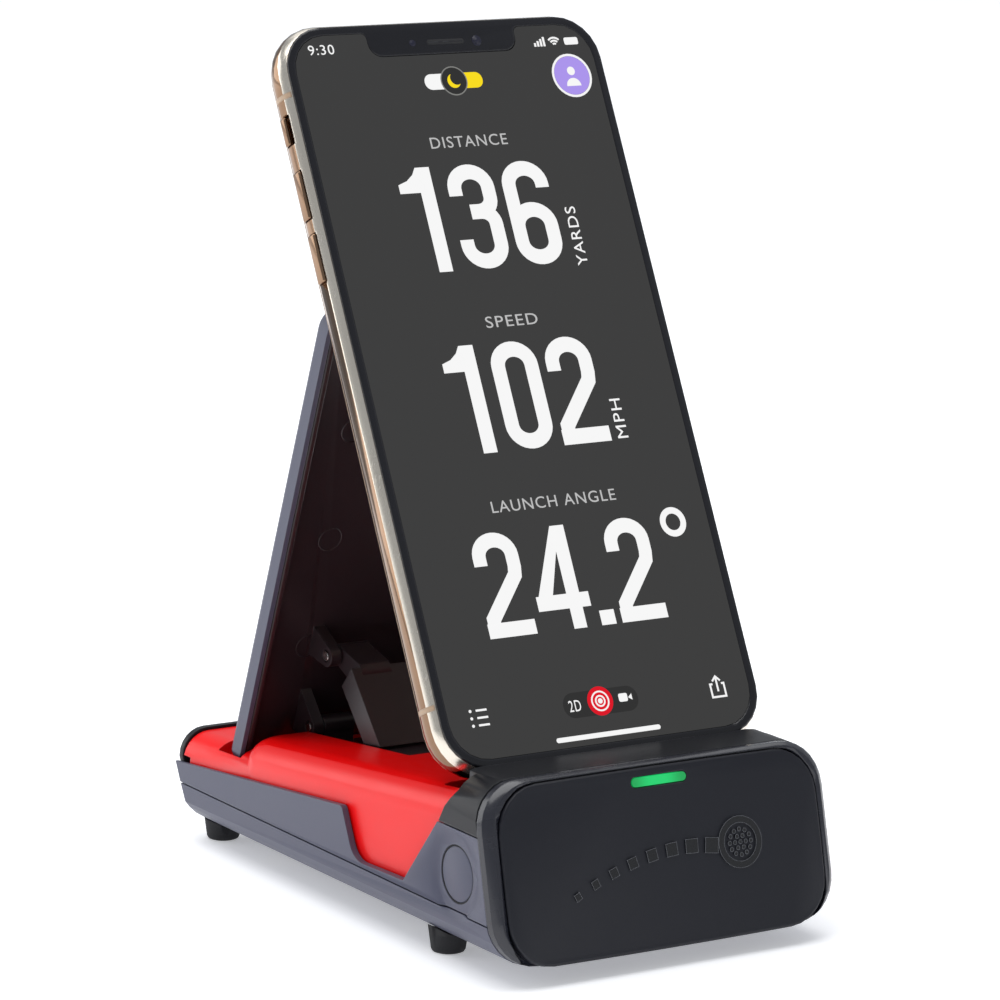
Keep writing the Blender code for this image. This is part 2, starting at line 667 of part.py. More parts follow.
def make_phone():
    skin = 0.0006
    loops = []
    for turn in range(7):
        angle = math.radians(-66 + 22 * turn)
        inset = 0.0034 * (1 - math.cos(angle))
        across = -PHONE_THICK / 2 + (PHONE_THICK / 2 - skin) * math.sin(angle) / math.sin(math.radians(66))
        loops.append([PHONE @ Vector((a, b, across)) for a, b in phone_outline(inset * 0.62, 7)])
    band = loft(loops, "handset_band")
    cut(band, prism(phone_outline(0.0022), PHONE, -0.02, 0.01, "band_hole"))
    middle = -PHONE_THICK / 2
    for name, side, low, high, wide, throw in HANDSET_KEYS:
        near, far = sorted((side * (PHONE_HALF - 0.0012), side * (PHONE_HALF + 0.002)))
        back, front = middle - wide / 2 - throw / 2, middle + wide / 2 - throw / 2
        cut(band, prism([(near, low - 0.0002), (far, low - 0.0002), (far, high + 0.0002), (near, high + 0.0002)],
                        PHONE, back - 0.0002, front + throw + 0.0002, "key_slot"))
        inner, outer = sorted((side * (PHONE_HALF - 0.0006), side * (PHONE_HALF + 0.0004)))
        key = prism([(inner, low), (outer, low), (outer, high), (inner, high)], PHONE, back, front, name)
        dress(key, name, "gold")
    dress(band, "handset_band", "gold")

    back = prism(phone_outline(0.0012), PHONE, -PHONE_THICK, -PHONE_THICK + skin - 0.0002, "handset_back")
    lens_hole = panel(0.0056, 0, 0.0218, 0.005, 0.005)
    lens_hole = [(a + 0.0270, b + 0.1280) for a, b in lens_hole]
    dress(cut(back, prism(lens_hole, PHONE, -0.02, 0.0, "camera_hole")), "handset_back", "glass")

    glass = prism(phone_outline(0.0012), PHONE, -skin + 0.0002, 0, "handset_glass")
    cut(glass, prism(screen_outline(-0.0001), PHONE, -0.00022, 0.01, "screen_seat"))
    dress(glass, "handset_glass", "glass")
    dress(prism(screen_outline(0), PHONE, -0.00014, 0, "handset_screen"), "handset_screen", "screen")

    core = prism(phone_outline(0.0026), PHONE, -PHONE_THICK + skin + 0.0001, -skin - 0.0001, "handset_core")
    cut(core, prism(lens_hole, PHONE, -0.02, -0.0058, "lens_seat"))
    dress(core, "handset_core", "foil")

    bump = [(a * 0.95 + 0.0270, b * 0.97 + 0.1283) for a, b in panel(0.0056, 0, 0.0218, 0.005, 0.005)]
    camera = prism(bump, PHONE, -PHONE_THICK - 0.0008, -0.0061, "handset_camera")
    dress(camera, "handset_camera", "glass")


def screen_outline(inset):
    """The lit area: rounded, with a notch at the top for the earpiece."""
    half, low, high = 0.0357 - inset, 0.0030 + inset, PHONE_TALL - 0.0030 - inset
    notch, deep = 0.0178 + inset, 0.0052 + inset
    corners = [(-half, low, 0.0078), (half, low, 0.0078), (half, high, 0.0078),
               (notch, high, 0.0012), (notch, high - deep, 0.0030),
               (-notch, high - deep, 0.0030), (-notch, high, 0.0012), (-half, high, 0.0078)]
    return rounded(corners, 5)


PLATE_HALF = 0.0372
PLATE_LOW = 0.0003
PLATE_HIGH = 0.0356
LIGHT_AT = (0.0002, 0.0331)
USB_AT = (0.0330, 0.0104)
BOARD_LOW = 0.0072
BOARD_HIGH = 0.0084
SCREWS = tuple((x, depth) for depth in (0.0480, 0.1050) for x in (-0.0310, 0.0310))
BOARD_POSTS = tuple((x, depth) for depth in (0.0180, 0.0780) for x in (-0.0220, 0.0220))
# Name, side, lower and upper end, width, and how far it is thrown towards the front
HANDSET_KEYS = (
    ("volume_up", -1, 0.1170, 0.1271, 0.0026, 0.0),
    ("volume_down", -1, 0.1037, 0.1138, 0.0026, 0.0),
    ("mute_switch", -1, 0.1330, 0.1388, 0.0018, 0.0010),
    ("side_key", 1, 0.0980, 0.1150, 0.0026, 0.0),
)

make_tray()
make_mid_frame()
make_front_cap()
make_deck()
make_hinge_bracket()
make_rear_window()
make_bezel()
make_front_plate()
make_light()
make_button()
make_electronics()
make_feet()
make_case_screws()
make_lid()
make_prop()
make_cradle_pad()
make_phone()
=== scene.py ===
"""Looks for the folding launch monitor: moulded casings, red deck, rubber, steel pins, the lit status bar
and the handset that shows the readings. Every place is taken from the loaded frame; lengths are metres."""

import json
import math

import bmesh
import bpy
from mathutils import Matrix, Vector


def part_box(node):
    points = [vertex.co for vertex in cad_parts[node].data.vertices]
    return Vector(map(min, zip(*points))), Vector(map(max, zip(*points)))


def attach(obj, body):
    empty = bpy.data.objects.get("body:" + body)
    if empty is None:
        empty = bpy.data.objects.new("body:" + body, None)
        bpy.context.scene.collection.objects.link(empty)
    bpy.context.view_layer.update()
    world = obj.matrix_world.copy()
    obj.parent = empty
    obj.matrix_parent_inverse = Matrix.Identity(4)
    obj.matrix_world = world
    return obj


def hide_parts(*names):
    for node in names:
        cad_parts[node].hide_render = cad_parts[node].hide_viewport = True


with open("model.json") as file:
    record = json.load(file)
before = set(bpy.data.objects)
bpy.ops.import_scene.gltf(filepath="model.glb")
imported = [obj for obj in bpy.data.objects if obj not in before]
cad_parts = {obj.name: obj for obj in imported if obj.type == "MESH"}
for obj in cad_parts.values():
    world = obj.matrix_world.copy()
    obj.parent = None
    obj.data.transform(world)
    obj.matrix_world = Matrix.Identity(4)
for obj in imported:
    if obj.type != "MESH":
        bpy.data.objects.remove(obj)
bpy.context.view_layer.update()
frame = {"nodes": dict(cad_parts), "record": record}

MM = 0.001

# How far ink and emblem are sunk below, and stand above, the face that carries them
INK_LOW = -0.00001
INK_HIGH = 0.00003
INK_STEP = 0.00002
INK_TOP = INK_HIGH + 2 * INK_STEP
EMBLEM_LOW = -0.00005
EMBLEM_HIGH = 0.00030

# The display: the numerals' proportions, and places measured up from the middle of its lower edge
STROKE_SHARE = 0.142
GAP_SHARE = 0.062
GAP_AFTER_ONE = 0.115
SCREEN_MIDDLE = 78.75 * MM
STATUS_FOOT = 149.9 * MM
AVATAR = (29.3 * MM, 143.2 * MM)
TARGET = (-0.2 * MM, 11.5 * MM)
KNOB = (0.5 * MM, 143.4 * MM)
KNOB_RADIUS = 3.05 * MM
EARPIECE = (0.7 * MM, 152.0 * MM)
FRONT_LENS = (8.2 * MM, 151.9 * MM)

# Rounded edges
WINDOW_EDGE = 0.00030
GLASS_EDGE = 0.00040
KEY_EDGE = 0.00030

# The handset's band: half its width across, its depth, and how its side bulges
BAND_HALF = 0.0387
BAND_DEPTH = 0.0077
BULGE_END = 60
BULGE_DEPTH = 0.00356
BULGE_RISE = 0.00211
# How far a band face must turn towards the front to take the paler metal, a painted highlight
PAINTED_HIGHLIGHT_FACING = 0.30

# Insulating strips, rear lenses, and the black ring in the power button's gap, which is painted shade
STRIP_AT = 0.0640
STRIP_WIDE = 0.0011
STRIP_THICK = 0.00010
LENS_RADIUS = 0.0047
LENS_LOW = -0.0002
GAP_SHADE_RADIUS = 0.00580
GAP_SHADE_WIDTH = 0.00042

# ---------------------------------------------------------------- camera

FOCAL = 175.17
CAMERA_AT = Vector((-0.52468, -0.82159, 0.27774))
CAMERA_TURN = math.radians(-32.55)
CAMERA_RISE = math.radians(11.38)
CAMERA_ROLL = math.radians(1.0)


def aim_camera():
    lens = bpy.data.cameras.new("camera")
    lens.lens = FOCAL
    lens.sensor_width = 36
    lens.clip_start = 0.05
    lens.clip_end = 20
    camera = bpy.data.objects.new("camera", lens)
    bpy.context.scene.collection.objects.link(camera)
    turn = Matrix.Rotation(CAMERA_TURN, 4, "Z")
    rise = Matrix.Rotation(math.pi / 2 - CAMERA_RISE, 4, "X")
    roll = Matrix.Rotation(CAMERA_ROLL, 4, "Z")
    camera.matrix_world = Matrix.Translation(CAMERA_AT) @ turn @ rise @ roll
    bpy.context.scene.camera = camera


# ---------------------------------------------------------------- shader maths

class Socket:
    """A shader value that takes part in Python arithmetic."""

    def __init__(self, graph, socket):
        self.graph = graph
        self.socket = socket

    def __add__(self, other):
        return self.graph.maths("ADD", self, other)

    def __sub__(self, other):
        return self.graph.maths("SUBTRACT", self, other)

    def __mul__(self, other):
        return self.graph.maths("MULTIPLY", self, other)

    def __truediv__(self, other):
        return self.graph.maths("DIVIDE", self, other)

    def __rsub__(self, other):
        return self.graph.maths("SUBTRACT", other, self)

    __radd__ = __add__
    __rmul__ = __mul__


class Nodes:
    """A node tree that is written as expressions."""

    family = "ShaderNode"

    def node(self, kind, settings=None, values=None, out=0):
        made = self.tree.nodes.new(kind if "Node" in kind else self.family + kind)
        for key, value in (settings or {}).items():
            setattr(made, key, value)
        for key, value in (values or {}).items():
            self.feed(made.inputs[key], value)
        return Socket(self, made.outputs[out])

    def feed(self, entry, value):
        if isinstance(value, Socket):
            self.tree.links.new(value.socket, entry)
        elif isinstance(value, tuple) and len(value) == 3 and entry.type == "RGBA":
            entry.default_value = (*value, 1)
        else:
            entry.default_value = value

    def maths(self, operation, a, b, clamp=False):
        return self.node("ShaderNodeMath", {"operation": operation, "use_clamp": clamp}, {0: a, 1: b})

    def vector(self, x=0.0, y=0.0, z=0.0):
        return self.node("ShaderNodeCombineXYZ", {}, {0: x, 1: y, 2: z})


class Growth(Nodes):
    """A geometry tree that repeats a small shape; its sizes are named inputs."""

    family = "GeometryNode"

    def __init__(self, name, **sizes):
        self.tree = bpy.data.node_groups.new(name, "GeometryNodeTree")
        self.sizes = sizes
        for key, value in sizes.items():
            kind = "NodeSocketInt" if isinstance(value, int) else "NodeSocketFloat"
            self.tree.interface.new_socket(key, in_out="INPUT", socket_type=kind)
        self.tree.interface.new_socket("Geometry", in_out="OUTPUT", socket_type="NodeSocketGeometry")
        entry = self.tree.nodes.new("NodeGroupInput")
        self.size = {key: Socket(self, entry.outputs[key]) for key in sizes}

    def block(self, width, length, height):
        """A small block round the origin, so its lower half is sunk in what it stands on."""
        return self.node("MeshCube", {}, {"Size": self.vector(width, length, height)})

    def button(self, radius, height, sides=20):
        return self.node("MeshCylinder", {}, {"Vertices": sides, "Radius": radius, "Depth": height})

    def hoop(self, radius, wire):
        """A thin ring of round wire, lying flat."""
        track = self.node("CurvePrimitiveCircle", {}, {"Resolution": 40, "Radius": radius})
        section = self.node("CurvePrimitiveCircle", {}, {"Resolution": 8, "Radius": wire})
        return self.node("CurveToMesh", {}, {"Curve": track, "Profile Curve": section})

    def repeat(self, points, shape, turn=None, scale=None):
        values = {"Points": points, "Instance": shape}
        if turn is not None:
            values["Rotation"] = turn
        if scale is not None:
            values["Scale"] = scale
        return self.node("InstanceOnPoints", {}, values)

    def mesh(self, shape, finish, where):
        """The finished growth as a plain mesh, laid in the plane of where."""
        real = self.node("RealizeInstances", {}, {0: shape})
        done = self.node("SetMaterial", {}, {"Geometry": real, "Material": finish})
        leave = self.tree.nodes.new("NodeGroupOutput")
        self.feed(leave.inputs[0], done)
        guide = bpy.data.objects.new(self.tree.name, bpy.data.meshes.new(self.tree.name))
        bpy.context.scene.collection.objects.link(guide)
        step = guide.modifiers.new("growth", "NODES")
        step.node_group = self.tree
        for item in self.tree.interface.items_tree:
            if item.in_out == "INPUT":
                step[item.identifier] = self.sizes[item.name]
        graph = bpy.context.evaluated_depsgraph_get()
        made = bpy.data.meshes.new_from_object(guide.evaluated_get(graph))
        guide.modifiers.clear()
        bpy.data.objects.remove(guide)
        made.transform(where)
        return made


class Graph(Nodes):
    """One material's nodes."""

    def __init__(self, name):
        self.material = bpy.data.materials.new(name)
        self.material.use_nodes = True
        self.tree = self.material.node_tree
        self.shader = self.tree.nodes["Principled BSDF"]

    def between(self, value, low, high):
        """0 below low, 1 above high, smooth in between."""
        return self.node("MapRange", {"interpolation_type": "SMOOTHSTEP"},
                         {"Value": value, "From Min": low, "From Max": high})

    def place(self):
        return self.node("TexCoord", out=3)

    def noise(self, size, detail=2.0, stretch=(1, 1, 1), rough=0.5):
        """Noise whose blotches are about size metres across."""
        where = self.node("Mapping", {}, {"Vector": self.place(), "Scale": stretch})
        return self.node("TexNoise", {}, {"Vector": where, "Scale": 1 / size, "Detail": detail,
                                          "Roughness": rough})

    def mix(self, share, a, b):
        made = self.tree.nodes.new("ShaderNodeMix")
        made.data_type = "RGBA"
        self.feed(made.inputs[0], share)
        self.feed(made.inputs[6], a)
        self.feed(made.inputs[7], b)
        return Socket(self, made.outputs[2])

    def edge(self, width):
        """1 on a rounded edge, 0 on the flat."""
        soft = self.node("Bevel", {"samples": 6}, {"Radius": width})
        hard = self.node("NewGeometry", out=1)
        agree = self.node("VectorMath", {"operation": "DOT_PRODUCT"}, {0: soft, 1: hard}, out=1)
        return self.between(agree, 0.995, 0.80)

    def surface(self, colour, rough, metal=0.0, height=None, depth=0.0, round_off=0.0, **fixed):
        self.feed(self.shader.inputs["Base Color"], colour)
        self.feed(self.shader.inputs["Roughness"], rough)
        self.feed(self.shader.inputs["Metallic"], metal)
        normal = self.node("Bevel", {"samples": 6}, {"Radius": round_off}) if round_off else None
        if height is not None:
            values = {"Height": height, "Distance": depth, "Strength": 1.0}
            if normal:
                values["Normal"] = normal
            normal = self.node("Bump", {}, values)
        if normal:
            self.feed(self.shader.inputs["Normal"], normal)
        for key, value in fixed.items():
            self.shader.inputs[key.replace("_", " ")].default_value = value
        return self.material


# ---------------------------------------------------------------- materials

def spark_plastic(name, colour, rough, grain=0.00022, depth=0.000010, worn=(0.11, 0.11, 0.12),
                  shine=0.5):
    """Moulded plastic with a fine spark-eroded texture, a little polished on its edges."""
    g = Graph(name)
    fine = g.noise(grain, 3.0)
    cloudy = g.noise(0.018, 3.0)
    rub = g.edge(0.0006) * g.between(g.noise(0.006, 4.0), 0.42, 0.62)
    tone = g.mix(cloudy * 0.30, colour, tuple(c * 1.35 for c in colour))
    uneven = (fine - 0.5) * 0.16 + (cloudy - 0.5) * 0.10 - rub * 0.12
    return g.surface(g.mix(rub * 0.35, tone, worn), rough + uneven,
                     height=fine, depth=depth, round_off=0.00025, Specular_IOR_Level=shine)


def polished_plastic(name, colour, rough, glow=(1, 1, 1), coat=0.4, shine=0.5):
    """Glossy moulding: a faint swirl in its roughness and a very slight moulding ripple."""
    g = Graph(name)
    ripple = g.noise(0.011, 1.0)
    smear = g.between(g.noise(0.004, 5.0, (1, 0.35, 1)), 0.40, 0.75)
    tint = g.mix(g.noise(0.030) * 0.5, colour, tuple(c * k for c, k in zip(colour, glow)))
    return g.surface(tint, rough + smear * 0.07, height=ripple, depth=0.000012, round_off=0.0003,
                     Coat_Weight=coat, Coat_Roughness=0.08, Specular_IOR_Level=shine)


def emblem_finish():
    """Deep gloss black, with a lighter grey painted on its moulded edges as a painted highlight."""
    g = Graph("emblem_black")
    # Painted highlight: the edge mask mixes the moulded edges towards a lighter grey.
    rim = g.edge(0.00028)
    haze = g.noise(0.004, 3.0)
    return g.surface(g.mix(rim * 0.55, (0.0030, 0.0030, 0.0040), (0.30, 0.31, 0.34)), 0.12 + haze * 0.06,
                     Coat_Weight=0.6, Coat_Roughness=0.06)


def rubber_finish():
    """Matt black rubber with a little dust in its hollows."""
    g = Graph("rubber")
    fine = g.noise(0.00030, 4.0)
    dust = g.between(g.noise(0.003, 5.0), 0.55, 0.80)
    tone = g.mix(dust * 0.35, (0.017, 0.017, 0.019), (0.075, 0.073, 0.070))
    return g.surface(tone, 0.72 + fine * 0.2, height=fine, depth=0.00003, round_off=0.0003)


def steel_finish(name, colour, rough, stretch):
    """Drawn or brushed metal: hairlines along one direction."""
    g = Graph(name)
    lines = g.noise(0.0010, 6.0, stretch, 0.65)
    tone = g.mix(g.noise(0.004) * 0.4, colour, tuple(c * 0.7 for c in colour))
    return g.surface(tone, rough + (lines - 0.5) * 0.20, 1.0, height=lines, depth=0.000004, round_off=0.0002)


def coated_steel(name, low, high, rough):
    """Polished coated steel: a soft drift of tone and the odd hairline."""
    g = Graph(name)
    drift = g.noise(0.020, 2.0)
    hair = g.between(g.noise(0.0008, 6.0, (1, 1, 0.10)), 0.62, 0.70)
    return g.surface(g.mix(drift, low, high), rough + hair * 0.10, 1.0,
                     height=hair, depth=0.000001, round_off=0.0004)


def glass_finish(name, colour, smudge):
    """Polished glass with faint finger marks in its gloss."""
    g = Graph(name)
    prints = g.between(g.noise(0.012, 6.0, (1, 1, 0.6)), 0.50, 0.78)
    tone = g.mix(prints * 0.2, colour, tuple(c * 1.4 + 0.001 for c in colour))
    return g.surface(tone, 0.05 + prints * smudge, round_off=0.0007)


def lit(name, colour, strength=1.0, rough=0.35, grain=0.004):
    """Something that shines by itself, such as a picture on the display."""
    g = Graph(name)
    even = g.noise(grain, 1.0)
    glow = g.mix(even * 0.10, colour, tuple(c * 0.90 for c in colour))
    g.feed(g.shader.inputs["Emission Color"], glow)
    return g.surface((0.0, 0.0, 0.0), rough + even * 0.03, Emission_Strength=strength,
                     Specular_IOR_Level=0.08)


def lens_finish():
    """The status bar's frosted lens: brighter along its middle, where the light sits."""
    g = Graph("status_light")
    across = g.node("SeparateXYZ", {}, {"Vector": g.place()})
    away = g.maths("ABSOLUTE", across, 0.0)
    core = 1 - g.between(away, 0.0015, 0.0062)
    frost = g.noise(0.0006, 3.0)
    glow = g.mix(core * 0.8, (0.001, 0.27, 0.055), (0.004, 0.66, 0.16))
    g.feed(g.shader.inputs["Emission Color"], glow)
    return g.surface((0.002, 0.16, 0.04), 0.40 + frost * 0.15, height=frost, depth=0.00001,
                     Emission_Strength=0.85)


def board_finish():
    """Green circuit board with raised tracks under its lacquer."""
    g = Graph("circuit_board")
    weave = g.node("TexChecker", {}, {"Vector": g.place(), "Scale": 900.0}, out=1)
    tracks = g.between(g.noise(0.0016, 0.0, (1, 0.12, 1)), 0.52, 0.56)
    tone = g.mix(tracks, (0.008, 0.070, 0.030), (0.020, 0.150, 0.060))
    return g.surface(tone, 0.32 + weave * 0.06, height=tracks, depth=0.00003, round_off=0.0002)


def foil_finish():
    """The battery's creased foil."""
    g = Graph("battery_foil")
    crease = g.noise(0.004, 6.0, (1, 0.5, 1), 0.7)
    tone = g.mix(crease, (0.50, 0.50, 0.53), (0.72, 0.72, 0.74))
    return g.surface(tone, 0.28 + crease * 0.2, 1.0, height=crease, depth=0.00012, round_off=0.0005)


MATERIALS = {
    "casing": spark_plastic("casing_plastic", (0.064, 0.068, 0.108), 0.42),
    "cap": spark_plastic("cap_plastic", (0.0060, 0.0065, 0.0090), 0.40, shine=0.32),
    "face": spark_plastic("face_plastic", (0.0060, 0.0068, 0.0120), 0.52, 0.00030, 0.000016, shine=0.36),
    "trim": polished_plastic("trim_plastic", (0.016, 0.017, 0.025), 0.24, coat=0.2),
    "deck": polished_plastic("deck_plastic", (0.90, 0.0016, 0.0020), 0.28, (0.95, 1.3, 1.3), 0.0, 0.33),
    # Dark plastic; the red in its colour is a painted reflection of the red deck, on the lid's inside, the
    # prop and the hinge bracket
    "bracket": spark_plastic("bracket_plastic", (0.0200, 0.0125, 0.0150), 0.34, worn=(0.05, 0.045, 0.05)),
    "rubber": rubber_finish(),
    "lens": lens_finish(),
    "pins": steel_finish("pin_steel", (0.75, 0.74, 0.72), 0.22, (0.2, 1, 1)),
    "screws": steel_finish("screw_steel", (0.50, 0.49, 0.47), 0.34, (1, 1, 0.2)),
    "board": board_finish(),
    "cell": foil_finish(),
    "shield": steel_finish("tinned_sheet", (0.62, 0.62, 0.61), 0.30, (1, 0.2, 1)),
    "handset_band": coated_steel("handset_bronze", (0.215, 0.130, 0.082), (0.32, 0.205, 0.130), 0.13),
    # A paler copy of the band's metal for its front-facing edge: a painted highlight
    "handset_bevel": coated_steel("handset_bevel", (0.70, 0.64, 0.55), (0.86, 0.80, 0.70), 0.24),
    "band_strip": spark_plastic("strip_plastic", (0.46, 0.32, 0.21), 0.40),
    "handset_glass": glass_finish("handset_black_glass", (0.006, 0.006, 0.009), 0.05),
    "handset_back": glass_finish("handset_gold_glass", (0.50, 0.36, 0.26), 0.06),
    "handset_core": steel_finish("handset_chassis", (0.30, 0.30, 0.31), 0.40, (1, 0.3, 1)),
    "handset_screen": lit("display_ground", (0.0465, 0.0465, 0.0465)),
    "optic": glass_finish("lens_glass", (0.010, 0.010, 0.028), 0.02),
    "flash": glass_finish("flash_glass", (0.80, 0.76, 0.55), 0.10),
}


# ---------------------------------------------------------------- making pieces

def add_piece(name, mesh, body, finish=None, stands_for=(), crease=32):
    """Links a finished mesh, shades it and lets it ride on its body."""
    obj = bpy.data.objects.new(name, mesh)
    bpy.context.scene.collection.objects.link(obj)
    if finish:
        mesh.materials.clear()
        mesh.materials.append(finish)
    mesh.shade_smooth()
    mesh.set_sharp_from_angle(angle=math.radians(crease))
    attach(obj, body)
    if stands_for:
        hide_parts(*stands_for)
    return obj


def merged_copy(node):
    """A copy of a CAD node's mesh as one closed skin with whole flat faces."""
    form = bmesh.new()
    form.from_mesh(frame["nodes"][node].data)
    bmesh.ops.remove_doubles(form, verts=form.verts, dist=2e-6)
    bmesh.ops.dissolve_limit(form, angle_limit=0.004, verts=form.verts, edges=form.edges)
    mesh = bpy.data.meshes.new(node)
    form.to_mesh(mesh)
    form.free()
    return mesh


def softened(node, name, width, finish, angle=28):
    """Stands for a CAD node, with its sharp edges rounded to this width."""
    mesh = merged_copy(node)
    guide = bpy.data.objects.new("guide", mesh)
    bpy.context.scene.collection.objects.link(guide)
    if width:
        step = guide.modifiers.new("round", "BEVEL")
        step.width = width
        step.segments = 3
        step.limit_method = "ANGLE"
        step.angle_limit = math.radians(angle)
        step.use_clamp_overlap = True
    graph = bpy.context.evaluated_depsgraph_get()
    made = bpy.data.meshes.new_from_object(guide.evaluated_get(graph))
    bpy.data.objects.remove(guide)
    body = next(b for b, members in frame["record"]["behaviour"]["bodies"].items() if node in members)
    return add_piece(name, made, body, MATERIALS[finish], (node,))


def face_frame(node, towards, across=(1, 0, 0)):
    """The broadest flat face of a node that looks this way, as a plane and its two sizes.
    The plane has X across, Y up the face and Z out of it, and its origin at the face's middle."""
    mesh = frame["nodes"][node].data
    towards, across = Vector(towards).normalized(), Vector(across)
    ways, levels = {}, {}
    for face in mesh.polygons:
        if face.normal.dot(towards) > 0.7:
            way = tuple(round(n, 2) for n in face.normal)
            ways.setdefault(way, []).append(face)
    broad = max(ways.values(), key=lambda faces: sum(f.area for f in faces))
    out = sum((f.normal * f.area for f in broad), Vector()).normalized()
    for face in broad:
        levels.setdefault(round(face.center.dot(out) / (0.2 * MM)), []).append(face)
    flat = max(levels.values(), key=lambda faces: sum(f.area for f in faces))
    corners = [mesh.vertices[v].co for f in flat for v in f.vertices]
    up = out.cross(across).normalized()
    across = up.cross(out)
    spans = [(min(c.dot(a) for c in corners), max(c.dot(a) for c in corners)) for a in (across, up)]
    level = sum(c.dot(out) for c in corners) / len(corners)
    origin = across * sum(spans[0]) / 2 + up * sum(spans[1]) / 2 + out * level
    plane = Matrix(((across.x, up.x, out.x, origin.x), (across.y, up.y, out.y, origin.y),
                    (across.z, up.z, out.z, origin.z), (0, 0, 0, 1)))
    return plane, spans[0][1] - spans[0][0], spans[1][1] - spans[1][0]


def arc(centre, radius, start, end, steps=12):
    """Points round a centre, from one angle to another, in degrees."""
    turns = [math.radians(start + (end - start) * i / steps) for i in range(steps + 1)]
    return [(centre[0] + radius * math.cos(t), centre[1] + radius * math.sin(t)) for t in turns]


def ribbon(form, path, width, low, high, closed=False):
    """A flat band of constant width along a path in the plane, with square ends and mitred bends."""
    points = [Vector(p) for p in path]
    count = len(points)
    rails = []
    for i, here in enumerate(points):
        before = points[i - 1] if closed or i > 0 else None
        after = points[(i + 1) % count] if closed or i < count - 1 else None
        ways = [d.normalized() for d in ((here - before) if before is not None else None,
                                         (after - here) if after is not None else None) if d is not None]
        way = sum(ways, Vector((0, 0))).normalized()
        side = Vector((-way.y, way.x)) * (width / 2 / max(0.35, way.dot(ways[0])))
        rails.append((here + side, here - side))
    sections = []
    for left, right in rails:
        sections.append([form.verts.new((p.x, p.y, z)) for p, z in
                         ((left, low), (right, low), (right, high), (left, high))])
    pairs = list(zip(sections, sections[1:] + sections[:1])) if closed else list(zip(sections, sections[1:]))
    for first, second in pairs:
        for k in range(4):
            form.faces.new((first[k], first[(k + 1) % 4], second[(k + 1) % 4], second[k]))
    if not closed:
        form.faces.new(sections[0])
        form.faces.new(sections[-1])


def plate_of(form, outline, low, high):
    """A flat outline given a thickness."""
    rings = [[form.verts.new((a, b, z)) for a, b in outline] for z in (low, high)]
    form.faces.new(rings[0])
    form.faces.new(rings[1])
    for i in range(len(outline)):
        j = (i + 1) % len(outline)
        form.faces.new((rings[0][i], rings[0][j], rings[1][j], rings[1][i]))


def mesh_from(form, where, name="shape"):
    bmesh.ops.recalc_face_normals(form, faces=form.faces)
    form.transform(where)
    mesh = bpy.data.meshes.new(name)
    form.to_mesh(mesh)
    form.free()
    return mesh


def disc(centre, radius, steps=32):
    return arc(centre, radius, 0, 360 - 360 / steps, steps - 1)


def rounded_box(centre, width, height, radius, steps=6):
    x, y = width / 2 - radius, height / 2 - radius
    points = []
    for cx, cy, start in ((x, -y, -90), (x, y, 0), (-x, y, 90), (-x, -y, 180)):
        points += arc((centre[0] + cx, centre[1] + cy), radius, start, start + 90, steps)
    return points


def lettering(text, centre, height, where, width, turn):
    """Plain lettering as a mesh, centred, lying in the plane of where."""
    curve = bpy.data.curves.new("lettering", "FONT")
    curve.body = text
    curve.align_x = "CENTER"
    curve.align_y = "CENTER"
    curve.size = 1
    curve.space_character = 1.12
    curve.resolution_u = 4
    curve.extrude = 0.5
    guide = bpy.data.objects.new("lettering", curve)
    bpy.context.scene.collection.objects.link(guide)
    bpy.context.view_layer.update()
    mesh = bpy.data.meshes.new_from_object(guide.evaluated_get(bpy.context.evaluated_depsgraph_get()))
    bpy.data.objects.remove(guide)
    xs = [v.co.x for v in mesh.vertices]
    ys = [v.co.y for v in mesh.vertices]
    tall = height / (max(ys) - min(ys))
    wide = width / (max(xs) - min(xs))
    middle = Matrix.Translation((-(max(xs) + min(xs)) / 2, -(max(ys) + min(ys)) / 2, 0))
    size = Matrix.Diagonal((wide, tall, INK_HIGH - INK_LOW, 1))
    spot = Matrix.Translation((*centre, (INK_LOW + INK_HIGH) / 2)) @ Matrix.Rotation(turn, 4, "Z")
    mesh.transform(where @ spot @ size @ middle)
    form = bmesh.new()
    form.from_mesh(mesh)
    bmesh.ops.remove_doubles(form, verts=form.verts, dist=1e-7)
    form.to_mesh(mesh)
    form.free()
    return mesh


def joined(meshes, name):
    form = bmesh.new()
    for mesh in meshes:
        form.from_mesh(mesh)
    made = bpy.data.meshes.new(name)
    form.to_mesh(made)
    form.free()
    return made


# ---------------------------------------------------------------- numerals

